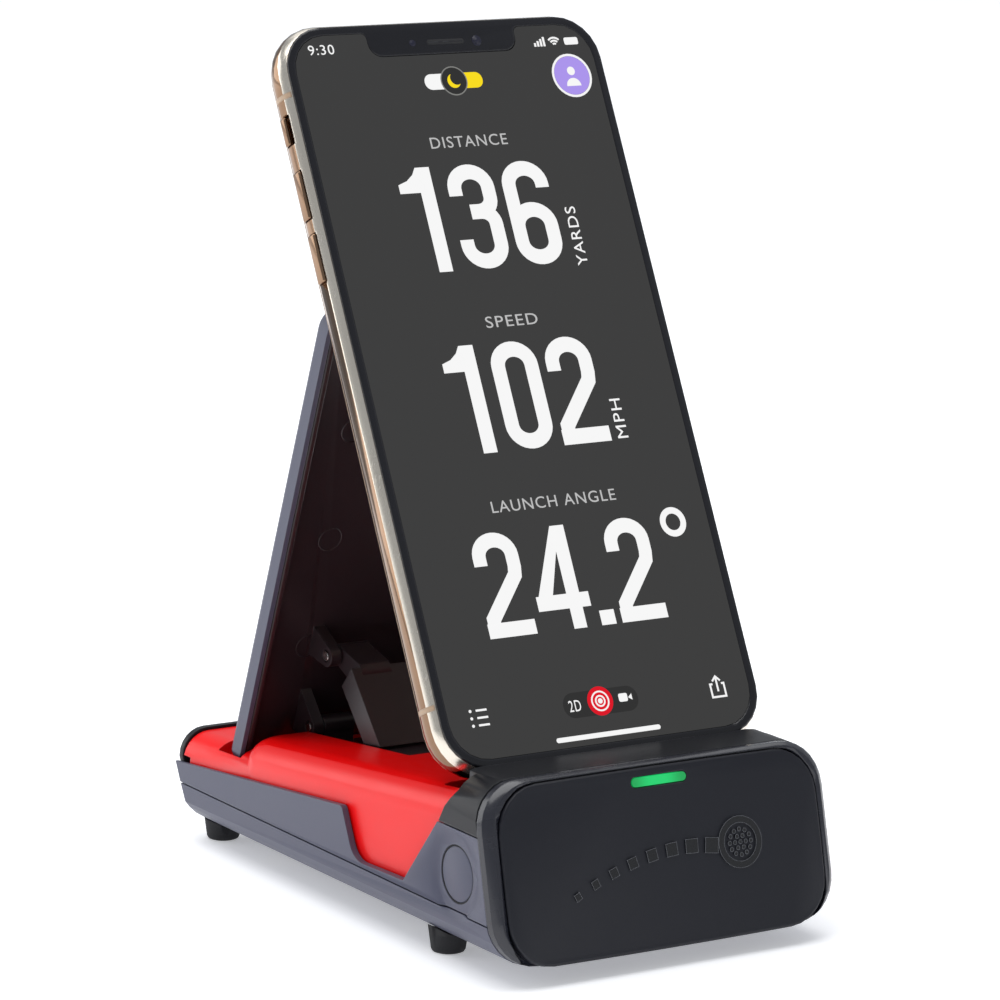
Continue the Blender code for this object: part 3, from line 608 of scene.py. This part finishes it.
def numeral(mark, height, stroke):
    """A condensed bold numeral standing on 0 from x = 0: its width, strokes and filled outlines."""
    half = stroke / 2
    if mark == ".":
        return stroke, [([(0, half), (stroke, half)], False)], []
    if mark == "1":
        width = 0.325 * height
        stem = width - stroke
        flag = [(0, 0.76), (stem / height + 0.01, 0.76), (stem / height + 0.01, 1.0), (0.185, 1.0),
                (0.150, 0.935), (0.085, 0.878), (0, 0.845)]
        flag = [(a * height, b * height) for a, b in flag]
        return width, [([(stem + half, 0), (stem + half, height)], False)], [flag]
    width = (0.51 if mark == "4" else 0.455) * height
    left, right = half, width - half
    radius = (right - left) / 2
    mid = width / 2
    crown, foot = (mid, height - half - radius), (mid, half + radius)
    if mark == "0":
        return width, [(arc(crown, radius, 0, 180, 16) + arc(foot, radius, 180, 360, 16), True)], []
    if mark == "2":
        bend = [(left, height * 0.69)] + arc(crown, radius, 180, 0, 16)
        bend += [(right, height * 0.66), (right - height * 0.012, height * 0.58), (half, stroke * 1.25),
                 (half, stroke * 0.5)]
        return width, [(bend, False), ([(0, half), (width, half)], False)], []
    if mark == "3":
        waist, turn = height * 0.545, radius * 0.8
        upper = [(left, height * 0.705)] + arc(crown, radius, 180, 0, 16)
        upper += arc((right - turn, waist + turn), turn, 0, -90, 8) + [(mid - radius * 0.35, waist)]
        lower = [(left, height * 0.285)] + arc(foot, radius, 180, 360, 16)
        lower += arc((right - turn, waist - turn), turn, 0, 90, 8) + [(mid - radius * 0.35, waist)]
        return width, [(upper, False), (lower, False)], []
    if mark == "4":
        post = width - stroke * 1.05
        bar = height * 0.27
        slope = [(post - half, height), (post + half * 0.2, height), (stroke * 1.02, bar), (0, bar)]
        return width, [([(post, 0), (post, height)], False), ([(0, bar), (width, bar)], False)], [slope]
    if mark == "6":
        shoulder = (mid, height * 0.60 - half - radius)
        bowl = arc(foot, radius, 180, 360, 16) + arc(shoulder, radius, 0, 180, 16)
        back = [(left, foot[1])] + arc(crown, radius, 180, 0, 16)
        return width, [(bowl, True), (back + [(right, height * 0.735)], False)], []
    raise ValueError(mark)


def reading(form, text, left, right, low, high):
    """A whole reading, set to fill the width from left to right and the height from low to high."""
    height = high - low
    stroke = height * STROKE_SHARE
    glyphs = [numeral(mark, height, stroke) for mark in text]
    gaps = [height * (GAP_AFTER_ONE if mark == "1" else GAP_SHARE) for mark in text[:-1]] + [0]
    squeeze = (right - left) / (sum(g[0] for g in glyphs) + sum(gaps))
    x = left
    for (width, strokes, fills), gap in zip(glyphs, gaps):
        for path, closed in strokes:
            ribbon(form, [(x + a * squeeze, low + b) for a, b in path], stroke, INK_LOW, INK_HIGH, closed)
        for outline in fills:
            plate_of(form, [(x + a * squeeze, low + b) for a, b in outline], INK_LOW, INK_HIGH)
        x += (width + gap) * squeeze


# ---------------------------------------------------------------- casing and deck

def make_shells():
    """The housings and covers, each on its CAD shape."""
    softened("bottom_tray", "tray_shell", 0, "casing")
    softened("mid_frame", "side_frame", 0, "casing")
    softened("front_cap", "block_cap", 0, "cap")
    softened("deck", "red_deck", 0, "deck")
    softened("hinge_bracket", "bracket_plate", 0, "bracket")
    softened("rear_window", "radar_window", WINDOW_EDGE, "cap")
    softened("bezel_ring", "face_bezel", 0, "trim")
    softened("front_plate", "face_plate", 0, "face")
    softened("power_button", "button_cap", 0, "casing")
    softened("status_lens", "status_bar", 0, "lens")
    softened("lid_cover", "lid_skin", 0, "casing")
    softened("lid_panel", "lid_inner", 0, "bracket")
    softened("prop", "prop_arm", 0, "bracket")
    for end in ("front", "rear"):
        for side in ("left", "right"):
            softened(f"foot_{end}_{side}", f"rubber_foot_{end}_{side}", 0, "rubber")


def make_handset():
    """The handset's outside; the band's faces that turn towards the front, where it meets the glass, take a
    paler copy of its metal as a painted highlight.
    """
    band = softened("handset_band", "band", 0, "handset_band")
    band.data.materials.append(MATERIALS["handset_bevel"])
    front = face_frame("handset_screen", (0, -1, 0.5))[0].to_3x3().col[2]
    # Faces turned towards the front take the paler metal: a painted highlight along the band's edge
    for face in band.data.polygons:
        if PAINTED_HIGHLIGHT_FACING < face.normal.dot(front) < 0.99:
            face.material_index = 1
    softened("handset_glass", "front_glass", GLASS_EDGE, "handset_glass", 50)
    softened("handset_back", "back_glass", GLASS_EDGE, "handset_back", 50)
    for name in ("volume_up", "volume_down", "side_key", "mute_switch"):
        softened(name, f"{name}_cap", KEY_EDGE, "handset_band", 50)


def plain_nodes():
    """CAD nodes whose shape is already right, or that are hidden inside, only take their finish."""
    for entry in frame["record"]["subparts"]:
        node = frame["nodes"][entry["node"]]
        if node.hide_render:
            continue
        slot = entry["material_slot"]
        node.data.materials.clear()
        node.data.materials.append(MATERIALS[slot])


# ---------------------------------------------------------------- the display

def make_display():
    """The readings and symbols on the lit display, laid out from its lower edge upwards."""
    screen = face_frame("handset_screen", (0, -1, 0.5))[0] @ Matrix.Translation((0, -SCREEN_MIDDLE, 0))
    white = lit("display_white", (0.93, 0.93, 0.93))

    form = bmesh.new()
    reading(form, "136", -18.4 * MM, 17.3 * MM, 102.9 * MM, 125.3 * MM)
    reading(form, "102", -18.1 * MM, 17.4 * MM, 64.5 * MM, 87.2 * MM)
    reading(form, "24.2", -21.9 * MM, 20.6 * MM, 26.7 * MM, 48.2 * MM)
    ribbon(form, disc((27.2 * MM, 46.2 * MM), 2.45 * MM), 1.35 * MM, INK_LOW, INK_HIGH, True)
    add_piece("readings", mesh_from(form, screen), "handset", white)

    headings = [("DISTANCE", (0.6, 130.3), 2.4, 18.4, 0), ("SPEED", (0.5, 91.6), 2.4, 12.4, 0),
                ("LAUNCH ANGLE", (0.2, 53.3), 2.4, 29.6, 0)]
    signs = [("YARDS", (20.8, 108.4), 2.5, 12.8, 90), ("MPH", (20.3, 69.0), 2.5, 8.4, 90),
             ("9:30", (-28.9, 151.5), 2.1, 6.0, 0), ("2D", (-6.3, 11.2), 2.3, 2.8, 0)]
    for name, words, ink in (("headings", headings, lit("display_grey", (0.52, 0.52, 0.52))),
                             ("signs", signs, white)):
        made = [lettering(text, (x * MM, y * MM), tall * MM, screen, wide * MM, math.radians(turn))
                for text, (x, y), tall, wide, turn in words]
        add_piece(name, joined(made, name), "handset", ink)
    make_symbols(screen, white)
    make_notch(screen)


def make_symbols(screen, white):
    """Small signs: list, share, camera, target, day and night switch, reception, battery and home bar."""
    form = bmesh.new()
    for row in range(3):
        height = (12.9 - row * 1.5) * MM
        ribbon(form, [(-29.1 * MM, height), (-26.6 * MM, height)], 0.42 * MM, INK_LOW, INK_HIGH)
        plate_of(form, disc((-30.4 * MM, height), 0.32 * MM, 12), INK_LOW, INK_HIGH)
    tray = [(27.1, 11.8), (26.5, 11.8), (26.5, 9.1), (29.8, 9.1), (29.8, 11.8), (29.2, 11.8)]
    ribbon(form, [(a * MM, b * MM) for a, b in tray], 0.42 * MM, INK_LOW, INK_HIGH)
    ribbon(form, [(28.15 * MM, 10.2 * MM), (28.15 * MM, 13.2 * MM)], 0.42 * MM, INK_LOW, INK_HIGH)
    ribbon(form, [(a * MM, b * MM) for a, b in ((27.2, 12.4), (28.15, 13.35), (29.1, 12.4))], 0.40 * MM,
           INK_LOW, INK_HIGH)
    plate_of(form, rounded_box((5.3 * MM, 11.6 * MM), 2.1 * MM, 1.7 * MM, 0.4 * MM), INK_LOW, INK_HIGH)
    plate_of(form, [(a * MM, b * MM) for a, b in ((6.5, 11.5), (7.4, 12.2), (7.4, 10.9))], INK_LOW, INK_HIGH)
    plate_of(form, rounded_box((0, 4.7 * MM), 24.8 * MM, 1.0 * MM, 0.49 * MM), INK_LOW, INK_HIGH)
    for bar in range(4):
        left = (21.9 + bar * 0.75) * MM
        tall = (0.8 + bar * 0.42) * MM
        right = left + 0.5 * MM
        top = STATUS_FOOT + tall
        plate_of(form, [(left, STATUS_FOOT), (right, STATUS_FOOT), (right, top), (left, top)],
                 INK_LOW, INK_HIGH)
    for ring in (0.5, 1.15, 1.8):
        ribbon(form, arc((26.9 * MM, STATUS_FOOT), ring * MM, 45, 135, 8), 0.4 * MM, INK_LOW, INK_HIGH)
    plate_of(form, rounded_box((31.1 * MM, 150.8 * MM), 3.4 * MM, 1.6 * MM, 0.4 * MM), INK_LOW, INK_HIGH)
    plate_of(form, rounded_box((-2.7 * MM, KNOB[1]), 7.6 * MM, 3.4 * MM, 1.65 * MM), INK_LOW, INK_HIGH)
    add_piece("symbols", mesh_from(form, screen), "handset", white)

    layers = (
        ("switch_day", "display_yellow", (0.95, 0.72, 0.012),
         [(rounded_box((3.7 * MM, KNOB[1]), 7.4 * MM, 3.4 * MM, 1.65 * MM), 1)]),
        ("switch_knob", "display_dark", (0.030, 0.030, 0.030),
         [(disc(KNOB, KNOB_RADIUS), 2),
          (rounded_box((-0.1 * MM, 11.3 * MM), 17.8 * MM, 5.2 * MM, 2.5 * MM), 0)]),
        ("target_red", "display_red", (0.72, 0.008, 0.020),
         [(disc(TARGET, 3.0 * MM), 2)]),
        ("avatar", "display_purple", (0.41, 0.30, 0.84),
         [(disc(AVATAR, 4.25 * MM), 1)]),
    )
    for name, ink, colour, plates in layers:
        form = bmesh.new()
        for outline, level in plates:
            plate_of(form, outline, INK_LOW, INK_HIGH + (level - 1) * INK_STEP)
        add_piece(name, mesh_from(form, screen), "handset", lit(ink, colour))

    form = bmesh.new()
    ribbon(form, disc(AVATAR, 4.55 * MM), 0.5 * MM, INK_LOW, INK_HIGH, True)
    plate_of(form, disc((AVATAR[0], 144.2 * MM), 0.95 * MM, 20), INK_LOW, INK_HIGH + INK_STEP)
    plate_of(form, arc((AVATAR[0], 140.9 * MM), 1.75 * MM, 0, 180), INK_LOW, INK_HIGH + INK_STEP)
    plate_of(form, disc(TARGET, 0.55 * MM, 16), INK_LOW, INK_TOP)
    for radius in (1.05, 1.95):
        ribbon(form, disc(TARGET, radius * MM), 0.34 * MM, INK_LOW, INK_TOP, True)
    add_piece("rings", mesh_from(form, screen), "handset", white)

    form = bmesh.new()
    ribbon(form, disc(KNOB, KNOB_RADIUS), 0.26 * MM, INK_LOW, INK_TOP, True)
    dim = lit("display_dim", (0.22, 0.22, 0.21))
    add_piece("knob_ring", mesh_from(form, screen), "handset", dim)
    form = bmesh.new()
    outer, inner, shift = 1.55 * MM, 1.45 * MM, 0.85 * MM
    meet = math.degrees(math.acos((outer ** 2 + shift ** 2 - inner ** 2) / (2 * outer * shift)))
    back = math.degrees(math.acos((outer ** 2 - inner ** 2 - shift ** 2) / (2 * inner * shift)))
    tilt = Matrix.Rotation(math.radians(40), 2)
    moon = arc((0, 0), outer, meet, 360 - meet, 18) + arc((shift, 0), inner, 360 - back, back, 14)[1:-1]
    plate_of(form, [tuple(Vector(KNOB) + tilt @ Vector(p)) for p in moon], INK_LOW, INK_TOP)
    yellow = lit("display_moon", (0.95, 0.72, 0.012))
    add_piece("moon", mesh_from(form, screen), "handset", yellow)


def make_notch(screen):
    """What shows in the dark notch: the earpiece's slot with its mesh, and two small lenses."""
    form = bmesh.new()
    plate_of(form, rounded_box(EARPIECE, 9.0 * MM, 1.15 * MM, 0.56 * MM), INK_LOW, INK_HIGH)
    add_piece("earpiece_slot", mesh_from(form, screen), "handset", MATERIALS["rubber"])

    row = Growth("earpiece_mesh", holes=17, pitch=0.00048, hole=0.00014)
    line = row.node("MeshLine", {}, {"Count": row.size["holes"], "Offset": row.vector(row.size["pitch"])})
    start = (row.size["holes"] - 1) * row.size["pitch"] * -0.5
    line = row.node("SetPosition", {}, {"Geometry": line, "Offset": row.vector(start)})
    dots = row.repeat(line, row.button(row.size["hole"], 0.00006, 8))
    spot = screen @ Matrix.Translation((*EARPIECE, INK_HIGH))
    add_piece("earpiece_mesh", row.mesh(dots, MATERIALS["trim"], spot), "handset")

    form = bmesh.new()
    plate_of(form, disc(FRONT_LENS, 1.15 * MM, 28), INK_LOW, INK_HIGH)
    plate_of(form, disc((-7.2 * MM, EARPIECE[1]), 0.75 * MM, 24), INK_LOW, INK_HIGH)
    plate_of(form, disc(FRONT_LENS, 0.62 * MM, 24), INK_LOW, INK_HIGH * 2)
    add_piece("front_lenses", mesh_from(form, screen), "handset", MATERIALS["optic"])


# ---------------------------------------------------------------- the handset's small parts

def make_handset_trim():
    """Insulating strips round the band's sides, and the rear lenses with their flash."""
    back = face_frame("handset_back", (0, 1, -0.4), (-1, 0, 0))[0]
    strips = bmesh.new()
    bulge = []
    for step in range(9):
        angle = math.radians(BULGE_END * (step / 4 - 1))
        deep = -BAND_DEPTH / 2 + BULGE_DEPTH * math.sin(angle)
        bulge.append((deep, BAND_HALF - BULGE_RISE * (1 - math.cos(angle))))
    for height in (-STRIP_AT, STRIP_AT):
        for side in (-1, 1):
            path = [(deep, side * across) for deep, across in bulge]
            ribbon(strips, path, STRIP_THICK, height - STRIP_WIDE / 2, height + STRIP_WIDE / 2)
    turned = back @ Matrix(((0, 1, 0, 0), (0, 0, 1, 0), (1, 0, 0, 0), (0, 0, 0, 1)))
    add_piece("band_strips", mesh_from(strips, turned), "handset", MATERIALS["band_strip"])

    block, _, tall = face_frame("handset_camera", (0, 1, -0.4), (-1, 0, 0))
    rings, glasses, flash = bmesh.new(), bmesh.new(), bmesh.new()
    for place in (-0.30, 0.30):
        centre = (0, place * tall)
        ribbon(rings, disc(centre, LENS_RADIUS), 0.0007, LENS_LOW, 0.00055, True)
        ribbon(rings, disc(centre, LENS_RADIUS * 0.62), 0.0004, LENS_LOW, 0.00030, True)
        plate_of(glasses, disc(centre, LENS_RADIUS - 0.0003), LENS_LOW, 0.00022)
        plate_of(glasses, disc(centre, LENS_RADIUS * 0.40, 24), LENS_LOW, 0.00028)
    plate_of(flash, disc((0, 0), 0.0019, 24), LENS_LOW, 0.00012)
    add_piece("lens_rings", mesh_from(rings, block), "handset", MATERIALS["handset_band"])
    add_piece("lens_glasses", mesh_from(glasses, block), "handset", MATERIALS["optic"])
    add_piece("flash_window", mesh_from(flash, block), "handset", MATERIALS["flash"])


def make_button_gap_shade():
    """A black ring sunk in the gap round the power button: painted shade that keeps the gap dark."""
    low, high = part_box("power_button")
    middle = (low + high) / 2
    side = Matrix(((0, 0, -1, low.x), (-1, 0, 0, middle.y), (0, 1, 0, middle.z), (0, 0, 0, 1)))
    form = bmesh.new()
    ribbon(form, disc((0, 0), GAP_SHADE_RADIUS, 56), GAP_SHADE_WIDTH, -0.0009, -0.0001, True)
    add_piece("button_gap_shade", mesh_from(form, side), "base", MATERIALS["rubber"])


# ---------------------------------------------------------------- the emblem

def make_emblem():
    """A generic sign in polished black on the face: a dimpled ball and the dashes of its flight."""
    face = face_frame("front_plate", (0, -1, 0.2))[0]
    polish = emblem_finish()
    ball = (17.6 * MM, 0.6 * MM)

    form = bmesh.new()
    ribbon(form, disc(ball, 4.5 * MM, 48), 1.4 * MM, EMBLEM_LOW, EMBLEM_HIGH, True)
    add_piece("emblem_ball", mesh_from(form, face), "base", polish)

    rings = ((1, 0.0), (6, 0.00130), (12, 0.00255))
    meshes = []
    for count, radius in rings:
        ring = Growth(f"dimples_{count}", dimples=count, ring=radius, dimple=0.00046, rise=EMBLEM_HIGH * 2)
        if count > 1:
            seats = ring.node("MeshCircle", {}, {"Vertices": ring.size["dimples"],
                                                 "Radius": ring.size["ring"]})
        else:
            seats = ring.node("MeshLine", {}, {"Count": ring.size["dimples"]})
        dots = ring.repeat(seats, ring.button(ring.size["dimple"], ring.size["rise"], 16))
        spot = face @ Matrix.Translation((*ball, 0))
        meshes.append(ring.mesh(dots, polish, spot))
    add_piece("emblem_dimples", joined(meshes, "emblem_dimples"), "base", polish)

    flight = Growth("flight", dashes=8, first=0.0034, width=0.0030, rise=EMBLEM_HIGH * 2)
    course = flight.node("CurveQuadraticBezier", {}, {
        "Resolution": 40, "Start": (-0.0215, -0.0052, 0), "Middle": (-0.0040, 0.0030, 0),
        "End": (0.0108, 0.0008, 0)})
    marks = flight.tree.nodes.new("GeometryNodeCurveToPoints")
    flight.feed(marks.inputs["Curve"], course)
    flight.feed(marks.inputs["Count"], flight.size["dashes"])
    along = flight.node("FunctionNodeAlignRotationToVector", {"axis": "X"},
                        {"Vector": Socket(flight, marks.outputs["Tangent"])})
    order = flight.node("InputIndex") / flight.size["dashes"]
    dash = flight.block(flight.size["first"], flight.size["width"], flight.size["rise"])
    row = flight.repeat(Socket(flight, marks.outputs["Points"]), dash, along,
                        flight.vector(0.42 + order * 0.58, 0.50 + order * 0.62, 1.0))
    add_piece("emblem_flight", flight.mesh(row, polish, face), "base", polish)


# ---------------------------------------------------------------- moulded detail of the lid and the cradle

def make_lid_detail():
    """Ejector marks on the lid's inner side and the low ribs between them."""
    inner, _, tall = face_frame("lid_panel", (0, -1, -0.3))
    marks = Growth("ejector_marks", columns=2, rows=3, span=0.046, pitch=0.026, ring=0.0027, wire=0.00012)
    seats = marks.node("MeshGrid", {}, {
        "Size X": marks.size["span"], "Size Y": marks.size["pitch"] * (marks.size["rows"] - 1),
        "Vertices X": marks.size["columns"], "Vertices Y": marks.size["rows"]})
    hoops = marks.repeat(seats, marks.hoop(marks.size["ring"], marks.size["wire"]))
    add_piece("lid_ejector_marks", marks.mesh(hoops, MATERIALS["bracket"], inner), "lid")

    ribs = Growth("lid_ribs", ribs=4, pitch=0.0042, length=0.026, width=0.0009, rise=0.0009)
    line = ribs.node("MeshLine", {}, {"Count": ribs.size["ribs"],
                                      "Offset": ribs.vector(0.0, ribs.size["pitch"])})
    bars = ribs.repeat(line, ribs.block(ribs.size["length"], ribs.size["width"], ribs.size["rise"]))
    spot = inner @ Matrix.Translation((0, tall * 0.5 - 0.026, 0))
    add_piece("lid_ribs", ribs.mesh(bars, MATERIALS["bracket"], spot), "lid")


def make_cradle_ribs():
    """Grip ribs along the cradle's rubber pad."""
    pad, wide, tall = face_frame("cradle_pad", (0, -0.3, 1))
    count, share = 25, 0.92
    grip = Growth("cradle_ribs", ribs=count, pitch=wide * share / (count - 1), length=tall * 0.8,
                  width=0.0006, rise=0.0002)
    line = grip.node("MeshLine", {}, {"Count": grip.size["ribs"],
                                      "Offset": grip.vector(grip.size["pitch"])})
    bars = grip.repeat(line, grip.block(grip.size["width"], grip.size["length"], grip.size["rise"]))
    spot = pad @ Matrix.Translation((-wide * share / 2, 0, 0))
    add_piece("cradle_pad_ribs", grip.mesh(bars, MATERIALS["rubber"], spot), "base")


# ---------------------------------------------------------------- studio

def make_studio():
    """A plain white floor with a light of its own, a pale world and three broad soft lights."""
    floor = bpy.data.meshes.new("floor")
    form = bmesh.new()
    bmesh.ops.create_grid(form, x_segments=1, y_segments=1, size=8)
    form.to_mesh(floor)
    form.free()
    ground = bpy.data.objects.new("floor", floor)
    bpy.context.scene.collection.objects.link(ground)
    g = Graph("floor_paint")
    g.feed(g.shader.inputs["Emission Color"], (0.97, 0.98, 1.0))
    paint = g.mix(g.noise(0.4) * 0.3, (0.93, 0.93, 0.94), (0.90, 0.90, 0.91))
    floor.materials.append(g.surface(paint, 0.75, Emission_Strength=0.34, Specular_IOR_Level=0.1))

    world = bpy.data.worlds.new("studio")
    world.use_nodes = True
    world.node_tree.nodes["Background"].inputs["Color"].default_value = (0.90, 0.94, 1.0, 1)
    world.node_tree.nodes["Background"].inputs["Strength"].default_value = 0.42
    bpy.context.scene.world = world

    for name, place, size, radiance in (
        ("overhead", (-0.2, 0.2, 1.7), 1.9, 3.0),
        ("backdrop", (1.2, 1.9, 1.9), 2.4, 0.7),
        ("left_rear", (-0.75, 0.95, 0.42), 0.9, 2.0),
    ):
        light = bpy.data.lights.new(name, "AREA")
        light.shape = "RECTANGLE"
        light.size = size
        light.size_y = size * 0.75
        light.energy = radiance * math.pi * light.size * light.size_y
        lamp = bpy.data.objects.new(name, light)
        bpy.context.scene.collection.objects.link(lamp)
        lamp.location = place
        target = Vector((place[0], place[1], 0)) if place[2] > 1 else Vector((0, 0, 0.03))
        lamp.rotation_euler = (target - Vector(place)).to_track_quat("-Z", "Y").to_euler()
    bpy.context.scene.view_settings.view_transform = "Standard"
    bpy.context.scene.view_settings.look = "None"


aim_camera()
make_shells()
make_handset()
plain_nodes()
make_display()
make_handset_trim()
make_button_gap_shade()
make_emblem()
make_lid_detail()
make_cradle_ribs()
make_studio()
